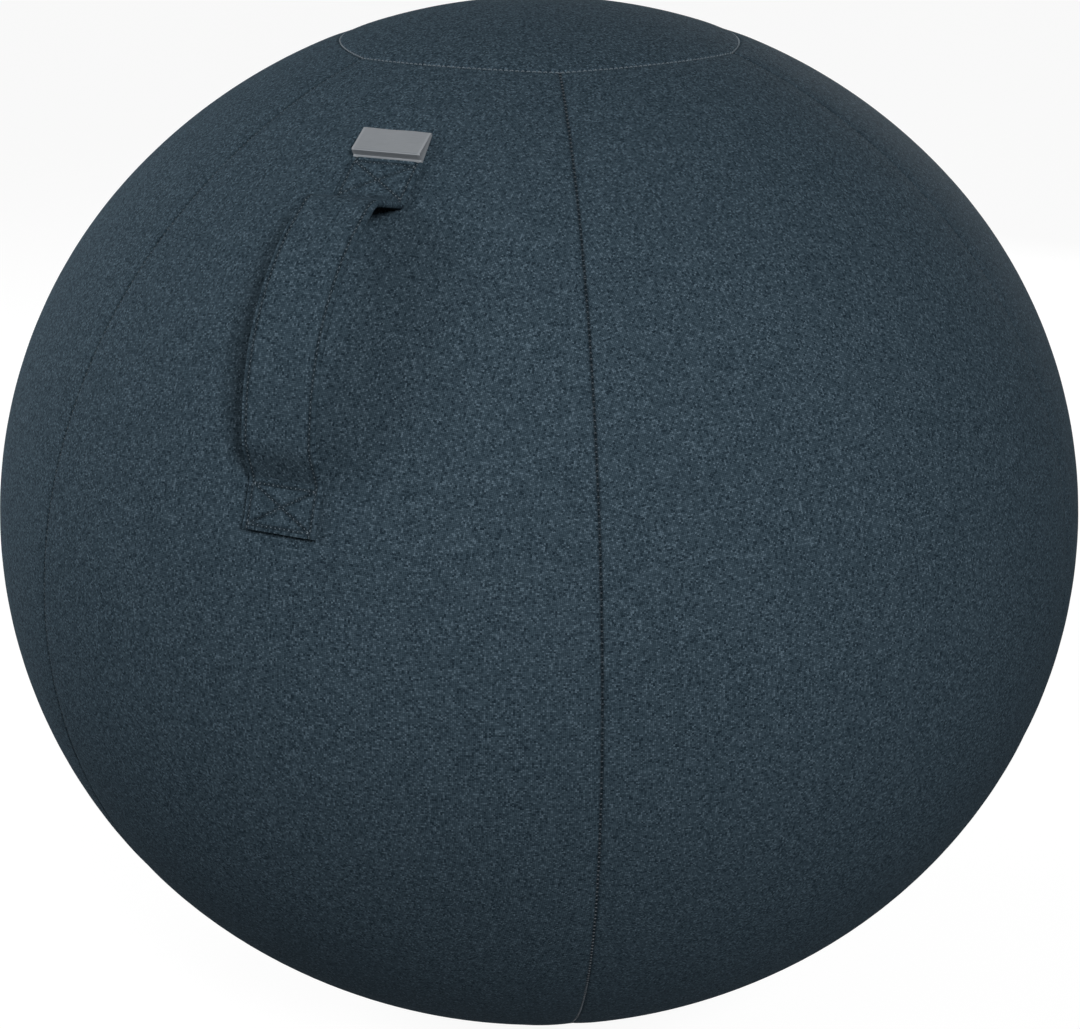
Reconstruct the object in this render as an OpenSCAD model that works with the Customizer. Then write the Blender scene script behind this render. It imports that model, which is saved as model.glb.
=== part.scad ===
// Sitting ball: an inflatable ball in a six-gore cloth cover with a carry handle,
// a zip and a weighted, non-slip base. Millimetres, +Z up, origin on the floor
// under the ball's centre, the handle at the front (-Y).

/* [Ball] */
// Width of the covered ball
ball_w = 650; // [636:1:690]
// Height of the covered ball, from pole to pole
ball_h = 616; // [580:1:630]
// Thickness of the inner ball's skin
skin_t = 1.2; // [0.8:0.1:2]
// Room between the cover and the inner ball
ball_room = 0.3; // [0.2:0.1:0.8]

/* [Cover] */
// Thickness of the cover cloth
cover_t = 1.5; // [1.2:0.1:2]
// Distance from the ball's axis to the corners of the top patch
patch_r = 117; // [95:1:140]
// Radius of the arc in which each side of the top patch bows out
patch_bow_r = 142; // [141:1:300]
// Angle round the ball from the handle to the seam on its right
seam_turn = 28.7; // [22:0.1:34]
// Width of the dip along each seam
seam_w = 1.6; // [1:0.1:3]
// Depth of the dip along each seam
seam_dip = 0.7; // [0.3:0.1:0.9]

/* [Base] */
// Slope of the stretch of cover that leaves the ball for the base
skirt_slope = 28; // [27:0.5:32]
// Length of that stretch, down to the base's upper edge
skirt_l = 59.1; // [57:0.1:64]
// Thickness of the base cloth
base_t = 1.6; // [1.2:0.1:2]
// Distance from the base's upper edge in to the weight ring's middle
ring_inset = 20; // [18:0.5:24]
// Diameter of the weight ring's tube
ring_d = 21.6; // [16:0.2:24]
// Thickness of the channel cloth round the weight ring
channel_t = 1; // [0.6:0.1:1.6]
// Radius of the bend at the base's upper edge
edge_bend_r = 4; // [3:0.5:6]
// Height of a grip dot
dot_h = 1.2; // [0.8:0.1:2]
// Diameter of a grip dot
dot_d = 8; // [5:0.5:12]
// Distance from one circle of grip dots to the next
dot_pitch = 19; // [15:0.5:21]

/* [Zip] */
// Angle round the base that the zip covers
zip_angle = 270; // [256:1:280]
// Angle at which the zip's closed end lies
zip_start = 75; // [66:1:84]
// Thickness of the zip tape
tape_t = 0.8; // [0.5:0.1:1]
// Width of one zip tape
tape_w = 11; // [9:0.5:12]
// Diameter of one coil of the zip
coil_d = 2.4; // [2:0.1:2.8]
// Slot between the two coils, in which the slider's wedge runs
coil_slot = 1.4; // [1.2:0.1:1.8]
// Distance from the zip's middle line to the cloth edge on either side
hem_gap = 6.5; // [6:0.1:8]
// Length of the slider
slider_l = 12; // [10:0.5:15]
// Width of the slider
slider_w = 10.4; // [9:0.2:11]
// Thickness of the slider's plates
plate_t = 1; // [0.8:0.1:1.1]
// Clearance round moving zip parts
zip_clear = 0.3; // [0.25:0.05:0.35]
// Length of an end stop along the zip
stop_l = 4; // [3:0.5:6]
// Inner radius of the slider's bridge
bridge_r = 2.6; // [2.3:0.1:3]
// Thickness of the bridge
bridge_t = 1.4; // [1:0.1:2]
// Width of the bridge
bridge_w = 2.2; // [1.6:0.1:3]
// Diameter of the pull's crossbar
pin_d = 1.6; // [1.2:0.1:1.8]
// Share of the slider's length that its wedge takes up
wedge_share = 0.4; // [0.3:0.05:0.6]
// Radius of the slider's rounded ends
slider_end_r = 7; // [6.5:0.1:9]
// Length of the pull from the crossbar to its tip
pull_l = 22; // [16:0.5:24]
// Width of the pull
pull_w = 6.4; // [6:0.1:8]
// Thickness of the pull
pull_t = 1.4; // [1:0.1:1.8]
// Diameter of the hole in the pull's tip
pull_hole_d = 2.8; // [2:0.1:3.4]

/* [Handle] */
// Width of the handle strap
strap_w = 40; // [30:1:44]
// Thickness of the handle strap
strap_t = 3; // [2:0.1:4]
// Angle up the ball of the handle's top end
handle_top = 56; // [54:0.5:58]
// Length of the upper sewn-down end
upper_l = 27; // [22:0.5:32]
// Angle up the ball of the handle's bottom end
handle_foot = 19; // [15:0.5:21]
// Length of the lower sewn-down end
lower_l = 25; // [20:0.5:30]
// Height of the strap's upper bend over the ball
top_bend_h = 25; // [20:0.5:30]
// Height over the ball of the point that the loop's long arc bends round
bow_h = 42; // [36:0.5:48]
// Height of the strap's lower bend over the ball
foot_bend_h = 15.5; // [12:0.5:19]
// Radius of the turn where the strap leaves its upper sewn-down end
top_lift_r = 4; // [3:0.5:6]
// Radius of the strap's upper bend
top_bend_r = 12; // [8:1:15]
// Radius of the loop's long arc
bow_r = 118; // [100:1:124]
// Radius of the strap's lower bend
foot_bend_r = 22; // [14:1:26]
// Radius of the turn where the strap leaves its lower sewn-down end
foot_lift_r = 6; // [3:0.5:9]
// Radius within which the strap stays still round the line between its ends
still_r = 22.5; // [22.5:0.5:25]
// Gap at the line where the standing loop begins
loop_gap = 0.3; // [0.2:0.05:0.5]

/* [Label] */
// Width of the tag
tag_w = 40; // [30:1:44]
// Length of the tag
tag_l = 21; // [15:0.5:28]
// Thickness of the folded tag
tag_t = 1; // [0.6:0.1:1.4]

/* [Valve] */
// Radius of the valve's bore
bore_r = 4.05; // [3.5:0.05:5]
// Radial clearance of the plug's stem
plug_clear = 0.05; // [0.03:0.01:0.1]
// Wall of the valve's collar
collar_t = 3; // [2:0.1:4]
// Length of the plug's stem
stem_l = 10; // [8:0.5:11]
// Radius of the plug's head
head_r = 7.5; // [6:0.1:10]
// Thickness of the plug's head
head_t = 1.4; // [1:0.1:1.8]

/* [Hidden] */
$fa = 3;
$fs = 0.4;

cloth = "#36434c";
cloth_dark = "#2a353d";
satin = "#82878c";
rubber = "#3a3d40";
vinyl = "#8e9398";
nylon = "#22292e";
metal = "#9a9da0";
plug_white = "#dfe1e2";

gores = 6;
gore_angle = 360 / gores;
// The seam at the left of the first gore, which carries the handle
first_seam = seam_turn - 90 - gore_angle;

// Where the middle of each side's arc of the top patch lies, from the ball's axis
patch_arc_x = patch_r * cos(gore_angle / 2) - sqrt(pow(patch_bow_r, 2) - pow(patch_r * sin(gore_angle / 2), 2));
// The stretch of the cap that holds the top patch's edge, as angles up the ball
edge_from = 60;
edge_to = 80;

// Clearance between cloths that lie on each other
lay = 0.05;
// How far cuts run past the faces they cut
over = 1;
// How far joined shapes reach into each other
lap = 0.5;
// The same round the ball's outline, as an angle
lap_a = 0.1;
// How far one stretch of the outline lies under the next, so that each join is a clean step
join_step = 0.02;
// How far a flat foot is let into a curved plate
sink = 0.2;

// The ball's outline is an oval of four arcs that join at 45 degrees
half_w = ball_w / 2;
half_h = ball_h / 2;
shift = (half_w - half_h) / (2 - sqrt(2));
side_r = half_w - shift;
cap_r = half_h + shift;

// Where the cover leaves the ball, as an angle down the lower cap
leave = 90 - skirt_slope;

// The ring lies in its channel on the base cloth, and the ball lies on the channel
base_r = cap_r * cos(leave) - skirt_l * cos(skirt_slope);
channel_room = 0.2;
channel_r = ring_d / 2 + lay + channel_t;
ring_r = base_r - ring_inset;
ring_z = dot_h + base_t + channel_room + channel_r;
cap_z = ring_z + sqrt(pow(cap_r - cover_t + channel_r, 2) - pow(ring_r, 2));
middle_z = cap_z - shift;

// The zip runs round the skirt, and its lower tape ends a little above the base's edge
edge_room = 2.3;
zip_s = skirt_l - tape_w - coil_slot / 2 - edge_room;
zip_r = cap_r * cos(leave) - zip_s * cos(skirt_slope);
tape_y = -max(cover_t, base_t) - lay;
coil_y = tape_y + coil_d / 2;
chain_top = tape_y + coil_d;
slider_a = slider_l / zip_r * 180 / PI;
stop_a = stop_l / zip_r * 180 / PI;
clear_a = zip_clear / zip_r * 180 / PI;
park_a = zip_start + stop_a + clear_a;
// How far the slider runs: used for the joint's range
slider_run = zip_angle - 2 * stop_a - 2 * clear_a - slider_a;
bridge_y = chain_top + zip_clear + plate_t;
pin_y = bridge_y + bridge_r - zip_clear - pin_d / 2;
wedge_t = coil_slot - 2 * zip_clear;

// The strap's middle line, as points in the plane through the ball's axis
strap_mid = lay + strap_t / 2;
upper_end = handle_top - upper_l / cap_r * 180 / PI;
lower_end = handle_foot + lower_l / side_r * 180 / PI;
// How far the strap's bends lie towards the middle of the loop, as an angle
bend_lean = 2.8;
// Where the curved loop takes over from the sewn-down ends, as an angle
sewn_stop = 0.6;
strap_loop = [
    oval(upper_end + sewn_stop, strap_mid),
    oval(upper_end, strap_mid),
    oval(upper_end - bend_lean, top_bend_h),
    oval((upper_end + lower_end) / 2, bow_h),
    oval(lower_end + bend_lean, foot_bend_h),
    oval(lower_end, strap_mid),
    oval(lower_end - sewn_stop, strap_mid)];
strap_bends = [0, top_lift_r, top_bend_r, bow_r, foot_bend_r, foot_lift_r, 0];
strap_path = concat(
    along_ball(handle_top, upper_end + 2 * sewn_stop),
    rounded(strap_loop, strap_bends),
    along_ball(lower_end - 2 * sewn_stop, handle_foot));
hinge_l = norm(strap_loop[1] - strap_loop[5]);

// A point on the oval at an angle up from the ball's middle, raised over the surface
function oval(angle, up) = angle > 45
    ? [0, middle_z - shift] + (cap_r + up) * [cos(angle), sin(angle)]
    : [shift, middle_z] + (side_r + up) * [cos(angle), sin(angle)];

// The strap's middle line where it lies on the ball, a point about every degree
function along_ball(from, to) =
    let (steps = ceil(abs(to - from)))
    [for (k = [0 : steps]) oval(from + (to - from) * k / steps, strap_mid)];

function unit(v) = v / norm(v);

// One rounded corner at b, on the way from a to c
function corner(a, b, c, r) =
    let (u = unit(a - b),
         v = unit(c - b),
         half = acos(u * v) / 2,
         centre = b + unit(u + v) * r / sin(half),
         first = b + u * r / tan(half) - centre,
         sweep = sign(cross(first, b + v * r / tan(half) - centre)) * (180 - 2 * half),
         steps = ceil(abs(sweep) / 6))
    [for (k = [0 : steps])
        centre + [first.x * cos(sweep * k / steps) - first.y * sin(sweep * k / steps),
                  first.x * sin(sweep * k / steps) + first.y * cos(sweep * k / steps)]];

// A path with its inner corners rounded
function rounded(p, r) = [for (i = [0 : len(p) - 1])
    each (r[i] == 0 ? [p[i]] : corner(p[i - 1], p[i], p[i + 1], r[i]))];

function heading(p, i) = unit(p[min(i + 1, len(p) - 1)] - p[max(i - 1, 0)]);

// The outline of a band of thickness t along a path
function ribbon(p, t) = concat(
    [for (i = [0 : len(p) - 1]) p[i] + t / 2 * [-heading(p, i).y, heading(p, i).x]],
    [for (i = [len(p) - 1 : -1 : 0]) p[i] - t / 2 * [-heading(p, i).y, heading(p, i).x]]);

// A sector of a round band, from angle a0 to a1, with its outer radius r
module arc_band(centre, r, t, a0, a1) {
    far = 2 * r;
    mid = (a0 + a1) / 2;
    translate(centre)
        intersection() {
            difference() {
                circle(r = r);
                circle(r = r - t);
            }
            polygon([[0, 0], far * [cos(a0), sin(a0)], far * [cos(mid), sin(mid)], far * [cos(a1), sin(a1)]]);
        }
}

// Draws in the skirt's own frame: x runs down the skirt, y points out of it
module on_skirt()
    translate([0, middle_z + shift])
        rotate(-leave)
            translate([cap_r, 0])
                rotate(-90)
                    children();

// The upper part of the ball's band, raised by up, with thickness t: its cap and its side
module upper_profile(up, t) {
    arc_band([0, middle_z - shift], cap_r + up, t, 45, 90);
    arc_band([shift, middle_z], side_r + up - join_step, t, -45 - lap_a, 45 + lap_a);
}

// The band of the whole ball
module ball_profile(up, t) {
    upper_profile(up, t);
    arc_band([0, middle_z + shift], cap_r + up, t, -90, -45);
}

// The band of the cover, from the top down to a distance along the skirt
module cover_profile(up, t, down) {
    upper_profile(up, t);
    arc_band([0, middle_z + shift], cap_r + up, t, -leave, -45);
    on_skirt()
        translate([-lap, up - t - join_step])
            square([down + lap, t]);
}

// A cylinder whose face is one bowed side of the top patch, moved out by grow
module patch_side(grow)
    rotate([0, 0, gore_angle / 2])
        translate([patch_arc_x, 0, middle_z])
            rotate([0, 0, 180])
                cylinder(h = half_h + 2 * over, r = patch_bow_r + grow);

// A prism round the whole top patch, its six sides moved out by grow
module patch_prism(grow)
    rotate([0, 0, first_seam])
        intersection_for(i = [0 : gores - 1])
            rotate([0, 0, i * gore_angle])
                patch_side(grow);

// The dip along one seam of the gores
module seam_groove(angle)
    rotate([90, 0, angle])
        linear_extrude(seam_w, center = true)
            cover_profile(over, over + seam_dip, skirt_l);

// A ring of the ball's skin, as deep as a dip, that holds the whole edge of the top patch
module edge_skin()
    rotate_extrude()
        arc_band([0, middle_z - shift], cap_r + over, over + seam_dip, edge_from, edge_to);

// The window in the cover that the zip's tapes and coils show through
module zip_window()
    rotate([0, 0, zip_start])
        rotate_extrude(angle = zip_angle)
            on_skirt()
                translate([zip_s - hem_gap, -cover_t - base_t])
                    square([2 * hem_gap, cover_t + base_t + over]);

module top_panel() color(cloth)
    difference() {
        intersection() {
            rotate_extrude()
                arc_band([0, middle_z - shift], cap_r, cover_t, 45, 90);
            patch_prism(0);
        }
        difference() {
            edge_skin();
            patch_prism(-seam_w / 2);
        }
    }

// Gore 1 carries the handle, and the others follow anticlockwise
module gore_panel(i) {
    turn = first_seam + (i - 1) * gore_angle;
    color(cloth)
        rotate([0, 0, turn])
            difference() {
                rotate_extrude(angle = gore_angle)
                    cover_profile(0, cover_t, zip_s);
                patch_side(0);
                intersection() {
                    edge_skin();
                    patch_side(seam_w / 2);
                }
                seam_groove(0);
                seam_groove(gore_angle);
                rotate([0, 0, -turn]) zip_window();
            }
}

// The base cloth: flat under the ring, up round it, then in line with the skirt
module base_panel() {
    mid_z = dot_h + base_t / 2;
    bend_r = channel_r + channel_room + base_t / 2;
    ring_at = [ring_r, ring_z];
    edge = [base_r, middle_z + shift - cap_r * sin(leave) - skirt_l * sin(skirt_slope)]
        - base_t / 2 * [cos(leave), -sin(leave)];
    out = edge - ring_at;
    wall_a = atan2(out.y, out.x) - acos(bend_r / norm(out)) + 90;
    flat_end = [ring_r + bend_r * tan(wall_a / 2), mid_z];
    hem = edge + (skirt_l - zip_s) * [cos(skirt_slope), sin(skirt_slope)];
    color(cloth_dark)
        union() {
            difference() {
                rotate_extrude()
                    polygon(ribbon(rounded([[0, mid_z], flat_end, edge, hem], [0, bend_r, edge_bend_r, 0]), base_t));
                zip_window();
            }
            grip_dots();
        }
}

// Grip dots in circles round a middle one, on the flat of the base
module grip_dots() {
    circles = floor((ring_r - dot_d / 2) / dot_pitch);
    cylinder(r = dot_d / 2, h = dot_h + lap);
    for (k = [1 : circles])
        for (j = [0 : 6 * k - 1])
            rotate([0, 0, j * 60 / k])
                translate([k * dot_pitch, 0, 0])
                    cylinder(r = dot_d / 2, h = dot_h + lap);
}

module ring_channel() color(cloth_dark)
    rotate_extrude()
        translate([ring_r, ring_z])
            difference() {
                circle(r = channel_r);
                circle(r = channel_r - channel_t);
            }

module weight_ring() color(rubber)
    rotate_extrude()
        translate([ring_r, ring_z])
            circle(r = ring_d / 2);

// A zip part of constant section, from one angle round the base to another
module zip_arc(a0, a1)
    rotate([0, 0, a0])
        rotate_extrude(angle = a1 - a0)
            on_skirt()
                translate([zip_s, 0])
                    children();

module zip_tape(side)
    color(nylon)
        zip_arc(zip_start, zip_start + zip_angle)
            translate([side < 0 ? -coil_slot / 2 - tape_w : coil_slot / 2, tape_y - tape_t])
                square([tape_w, tape_t]);

module zip_coil(side)
    color(nylon)
        zip_arc(zip_start + stop_a, zip_start + zip_angle - stop_a)
            translate([side * (coil_slot + coil_d) / 2, coil_y + lay])
                circle(r = coil_d / 2);

module zip_tape_upper() zip_tape(-1);

module zip_tape_lower() zip_tape(1);

module zip_coil_upper() zip_coil(-1);

module zip_coil_lower() zip_coil(1);

// One small stop on each coil at the closed end, and one across both at the open end
module zip_stops() color(metal) {
    reach = coil_slot / 2 + coil_d;
    for (side = [0, 1])
        zip_arc(zip_start, zip_start + stop_a)
            translate([side == 0 ? -reach : coil_slot / 2, tape_y + lay])
                square([coil_d, coil_d]);
    zip_arc(zip_start + zip_angle - stop_a, zip_start + zip_angle)
        translate([-reach, tape_y + lay])
            square([2 * reach, coil_d]);
}

// The frame at the middle of the parked slider: x down the skirt, y outward
module at_slider()
    rotate([0, 0, park_a + slider_a / 2])
        translate([0, 0, middle_z + shift])
            rotate([90, 0, 0])
                rotate(-leave)
                    translate([cap_r, 0, 0])
                        rotate(-90)
                            translate([zip_s, 0, 0])
                                children();

module zip_slider() color(metal) {
    low_y = tape_y - tape_t - zip_clear;
    top_y = chain_top + lay + zip_clear;
    flange_y = tape_y + zip_clear;
    flange_w = slider_w / 2 - coil_slot / 2 - coil_d - zip_clear;
    union() {
        intersection() {
            zip_arc(park_a, park_a + slider_a) {
                translate([-slider_w / 2, low_y - plate_t])
                    square([slider_w, plate_t]);
                translate([-slider_w / 2, top_y])
                    square([slider_w, plate_t]);
                for (x = [-slider_w / 2, slider_w / 2 - flange_w])
                    translate([x, flange_y])
                        square([flange_w, top_y - flange_y + lap]);
            }
            at_slider()
                rotate([-90, 0, 0])
                    cylinder(r = slider_end_r, h = 4 * slider_w, center = true);
        }
        zip_arc(park_a + slider_a * (1 - wedge_share) / 2, park_a + slider_a * (1 + wedge_share) / 2)
            translate([-wedge_t / 2, low_y - lap])
                square([wedge_t, top_y - low_y + 2 * lap]);
        at_slider()
            translate([0, bridge_y + lay, 0])
                rotate([0, 90, 0])
                    difference() {
                        cylinder(r = bridge_r + bridge_t, h = bridge_w, center = true);
                        cylinder(r = bridge_r, h = bridge_w + over, center = true);
                        translate([-2 * slider_l, -2 * slider_l - sink, -bridge_w])
                            cube([4 * slider_l, 2 * slider_l, 2 * bridge_w]);
                    }
    }
}

// The pull hangs from its crossbar, which lies in the slider's bridge
module zip_pull() color(metal) {
    leg_x = bridge_w / 2 + zip_clear;
    leg_l = norm([bridge_r + bridge_t, pin_y - bridge_y]) + 2 * zip_clear;
    at_slider()
        translate([0, pin_y + lay, 0]) {
            rotate([0, 90, 0])
                cylinder(r = pin_d / 2, h = pull_w, center = true);
            difference() {
                translate([-pull_w / 2, 0, -pull_t / 2])
                    cube([pull_w, pull_l - pull_w / 2, pull_t]);
                translate([-leg_x, -over, -pull_t])
                    cube([2 * leg_x, leg_l + over, 2 * pull_t]);
                translate([0, pull_l - pull_w / 2, 0])
                    cylinder(r = pull_hole_d / 2, h = 2 * pull_t, center = true);
            }
            translate([0, pull_l - pull_w / 2, 0])
                difference() {
                    cylinder(r = pull_w / 2, h = pull_t, center = true);
                    cylinder(r = pull_hole_d / 2, h = 2 * pull_t, center = true);
                }
        }
}

// Stands a drawing of the plane through the ball's axis up at the handle
module at_handle()
    rotate([0, 0, -90])
        rotate([90, 0, 0])
            children();

module whole_strap()
    at_handle()
        linear_extrude(strap_w, center = true)
            polygon(ribbon(strap_path, strap_t));

// Draws along the line between the strap's ends: x runs from the lower end to the upper one
module on_hinge() {
    low = strap_loop[5];
    line = strap_loop[1] - low;
    at_handle()
        translate([low.x, low.y, 0])
            rotate(atan2(line.y, line.x))
                children();
}

// The space round the line between the strap's ends in which the strap stays still
module still_zone(grow) {
    far = 2 * strap_w;
    on_hinge() {
        rotate([0, 90, 0])
            cylinder(r = still_r + grow, h = hinge_l);
        translate([hinge_l - grow, -far, -far])
            cube([far, 2 * far, 2 * far]);
        translate([grow - far, -far, -far])
            cube([far, 2 * far, 2 * far]);
    }
}

// Half of the space along the hinge line: the upper half, or the lower one
module hinge_half(upper) {
    far = 3 * strap_w;
    on_hinge()
        translate([hinge_l / 2 - (upper ? 0 : far), -far, -far])
            cube([far, 2 * far, 2 * far]);
}

module handle_loop() color(cloth)
    difference() {
        whole_strap();
        still_zone(loop_gap);
    }

module handle_end(upper) color(cloth)
    intersection() {
        whole_strap();
        still_zone(0);
        hinge_half(upper);
    }

module handle_end_upper() handle_end(true);

module handle_end_lower() handle_end(false);

// A flat folded tag with a round root, hinged where it comes out from under the handle
module label() color(satin) {
    root_gap = 0.3;
    root_a = handle_top + (root_gap + tag_t / 2) / cap_r * 180 / PI;
    root = oval(root_a, root_gap + tag_t / 2);
    at_handle()
        translate([root.x, root.y, 0])
            rotate(root_a) {
                translate([0, tag_l / 2, 0])
                    cube([tag_t, tag_l, tag_w], center = true);
                cylinder(r = tag_t / 2, h = tag_w, center = true);
            }
}

// Height of the inner ball's outside at its lowest point
function foot_z() = cap_z - cap_r + cover_t + ball_room;

module inner_ball() color(vinyl)
    difference() {
        rotate_extrude()
            ball_profile(-cover_t - ball_room, skin_t);
        translate([0, 0, foot_z() - over])
            cylinder(r = bore_r + collar_t, h = skin_t + 2 * over);
    }

module valve_seat() color(vinyl) {
    flange_r = bore_r + 2 * collar_t;
    flange_rise = 0.3;
    difference() {
        union() {
            translate([0, 0, foot_z()])
                cylinder(r = bore_r + collar_t, h = stem_l);
            translate([0, 0, foot_z() + skin_t + flange_rise])
                cylinder(r = flange_r, h = skin_t);
        }
        translate([0, 0, foot_z() - over])
            cylinder(r = bore_r, h = stem_l + 2 * over);
    }
}

module valve_plug() color(plug_white) {
    stem_r = bore_r - plug_clear;
    translate([0, 0, foot_z() - plug_clear - head_t])
        difference() {
            union() {
                cylinder(r = head_r, h = head_t);
                cylinder(r = stem_r, h = head_t + stem_l);
            }
            translate([0, 0, head_t + stem_l / 2])
                cylinder(r = stem_r / 2, h = stem_l);
        }
}

top_panel();
gore_panel(1);  // gore_panel_1
gore_panel(2);  // gore_panel_2
gore_panel(3);  // gore_panel_3
gore_panel(4);  // gore_panel_4
gore_panel(5);  // gore_panel_5
gore_panel(6);  // gore_panel_6
base_panel();
ring_channel();
weight_ring();
zip_tape_upper();
zip_tape_lower();
zip_coil_upper();
zip_coil_lower();
zip_stops();
zip_slider();
zip_pull();
handle_loop();
handle_end_upper();
handle_end_lower();
label();
inner_ball();
valve_seat();
valve_plug();
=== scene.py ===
from math import acos, asin, atan2, ceil, cos, degrees, exp, floor, hypot, pi, radians, sin, sqrt, tan

import bmesh
import bpy
from mathutils import Matrix, Vector, noise


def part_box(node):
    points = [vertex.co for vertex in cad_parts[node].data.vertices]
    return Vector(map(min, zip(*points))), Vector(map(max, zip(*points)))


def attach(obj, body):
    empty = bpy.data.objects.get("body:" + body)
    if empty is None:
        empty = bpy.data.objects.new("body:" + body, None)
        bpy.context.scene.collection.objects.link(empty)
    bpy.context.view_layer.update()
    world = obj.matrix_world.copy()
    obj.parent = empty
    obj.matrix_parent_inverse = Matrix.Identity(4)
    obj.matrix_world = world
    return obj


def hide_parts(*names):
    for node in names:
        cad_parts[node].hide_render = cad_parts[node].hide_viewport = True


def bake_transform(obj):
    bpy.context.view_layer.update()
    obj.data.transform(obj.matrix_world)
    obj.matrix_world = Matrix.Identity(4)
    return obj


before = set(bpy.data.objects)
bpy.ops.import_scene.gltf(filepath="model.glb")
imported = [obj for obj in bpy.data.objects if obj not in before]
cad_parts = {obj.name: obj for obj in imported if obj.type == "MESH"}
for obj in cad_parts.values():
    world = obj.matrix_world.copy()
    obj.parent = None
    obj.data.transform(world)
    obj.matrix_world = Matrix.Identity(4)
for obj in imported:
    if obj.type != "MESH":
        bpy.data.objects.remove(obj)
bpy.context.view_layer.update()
bpy.ops.object.select_all(action="DESELECT")

MM = 0.001


# The camera
# It stands in front of the handle and to its right, a little above the ball, as in the photograph.
IMAGE_W = 1080
FOCAL_PIXELS = 2012
CAMERA_AZIMUTH = radians(-66.6)
CAMERA_ELEVATION = radians(21.5)
CAMERA_DISTANCE = 1254.5 * MM
AIM_BELOW = 5.0 * MM
AIM_RIGHT = 0.5 * MM

inner_low, inner_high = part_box("inner_ball")
middle = Vector((0, 0, (inner_low.z + inner_high.z) / 2))
toward_camera = Vector((
    cos(CAMERA_ELEVATION) * cos(CAMERA_AZIMUTH),
    cos(CAMERA_ELEVATION) * sin(CAMERA_AZIMUTH),
    sin(CAMERA_ELEVATION)))
camera_turn = toward_camera.to_track_quat("Z", "Y")
aim_shift = camera_turn @ Vector((AIM_RIGHT, -AIM_BELOW, 0))
bpy.ops.object.camera_add()
camera = bpy.context.object
camera.name = "photo_view"
camera.location = middle + toward_camera * CAMERA_DISTANCE + aim_shift
camera.rotation_mode = "QUATERNION"
camera.rotation_quaternion = camera_turn
camera.data.sensor_width = 36
camera.data.lens = FOCAL_PIXELS / IMAGE_W * camera.data.sensor_width
bpy.context.scene.camera = camera
bpy.context.scene.view_settings.view_transform = "Standard"


# The six gores of the cover
# Each is one piece of plain-woven polyester, cut long and narrow and sewn edge to edge to its neighbours,
# stretched over the ball from the top patch down to the zip under the belly.
COVER_T = 1.5 * MM
BALL_ROOM = 0.3 * MM
GORES = 6
FIRST_SEAM = radians(28.7 - 90 - 60)
PATCH_CORNER = 117 * MM
LEAVE = radians(62)
ZIP_DOWN = 45.1 * MM
HEM_GAP = 6.5 * MM
ZIP_START = radians(75)
ZIP_END = radians(345)
PATCH_BOW_R = 142 * MM
PATCH_FADE = 90 * MM
SEAM_DEPTH = 1.1 * MM
SEAM_HALF = 0.8 * MM
SHOULDER_DEPTH = 0.5 * MM
SHOULDER_HALF = 7 * MM
ROW_STEP = 4 * MM
GORE_COLUMNS = 30
SEAM_LOOPS = [0.5 * MM, 1.1 * MM, 2.2 * MM, 4 * MM, 7 * MM, 11 * MM]
SMOOTH = radians(40)
# How far the painted shade along a line of stitches reaches
STITCH_SHADE_HALF = 0.8 * MM
HEM_STITCH_IN = 2 * MM

# The gathers beside a seam: their height, where they are highest, how far they reach, their length and width
PUCKER_H = 0.12 * MM
PUCKER_AT = 3 * MM
PUCKER_HALF = 5 * MM
PUCKER_L = 7 * MM
PUCKER_W = 9 * MM
PUCKER_SLICE = 3.7
DEGREE_L = 5.5 * MM

# The cloth: from thread to thread, along one tone of a yarn, across a faint cloud, and its colours from the
# weave's hollows in painted shade to its crests in painted light, and in the painted shade of the stitches
THREAD = 0.9 * MM
STRETCH = 4 * MM
ROW_APART = 7.3
CLOUD = 60 * MM
CLOTH_RISE = 0.3 * MM
CLOTH_SHADED_HOLLOW = "#1c2831"
CLOTH_MEAN = "#35444e"
CLOTH_LIT_CREST = "#586975"
# The colour of the painted shade in the stitches' grooves
CLOTH_STITCH_SHADE = "#0c1216"
SEWN_SHADE = 0.75

# The ball is an oval of four arcs: a cap's arc above and below, and a side's arc between them
half_w = (inner_high.x - inner_low.x) / 2 + COVER_T + BALL_ROOM
half_h = (inner_high.z - inner_low.z) / 2 + COVER_T + BALL_ROOM
arc_shift = (half_w - half_h) / (2 - sqrt(2))
cap_r = half_h + arc_shift
side_r = half_w - arc_shift
gore_angle = 2 * pi / GORES
patch_inner = PATCH_CORNER * cos(gore_angle / 2)
patch_arc_x = patch_inner - sqrt(PATCH_BOW_R ** 2 - (PATCH_CORNER * sin(gore_angle / 2)) ** 2)
skirt_slope = pi / 2 - LEAVE
down_skirt = Vector((-cos(skirt_slope), 0, -sin(skirt_slope)))
skirt_top = Vector((cap_r * cos(LEAVE), 0, middle.z + arc_shift - cap_r * sin(LEAVE)))


def pick(test, kind="VERT"):
    """In edit mode, selects just the points, or the faces by their middle, that pass the test."""
    bpy.ops.mesh.select_mode(type=kind)
    bpy.ops.mesh.select_all(action="DESELECT")
    mesh = bmesh.from_edit_mesh(bpy.context.object.data)
    if kind == "VERT":
        for vertex in mesh.verts:
            vertex.select_set(test(vertex.co))
    else:
        for face in mesh.faces:
            face.select_set(test(face.calc_center_median()))
    bmesh.update_edit_mesh(bpy.context.object.data)


def start_point(name, place):
    """Starts a piece as one point at a place, in edit mode with that point selected."""
    bpy.ops.object.select_all(action="DESELECT")
    bpy.ops.mesh.primitive_plane_add(size=MM, location=place)
    bpy.ops.object.transform_apply(location=True)
    bpy.context.object.name = name
    bpy.ops.object.mode_set(mode="EDIT")
    bpy.ops.mesh.select_mode(type="VERT")
    bpy.ops.mesh.select_all(action="SELECT")
    bpy.ops.mesh.merge(type="CENTER")


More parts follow.
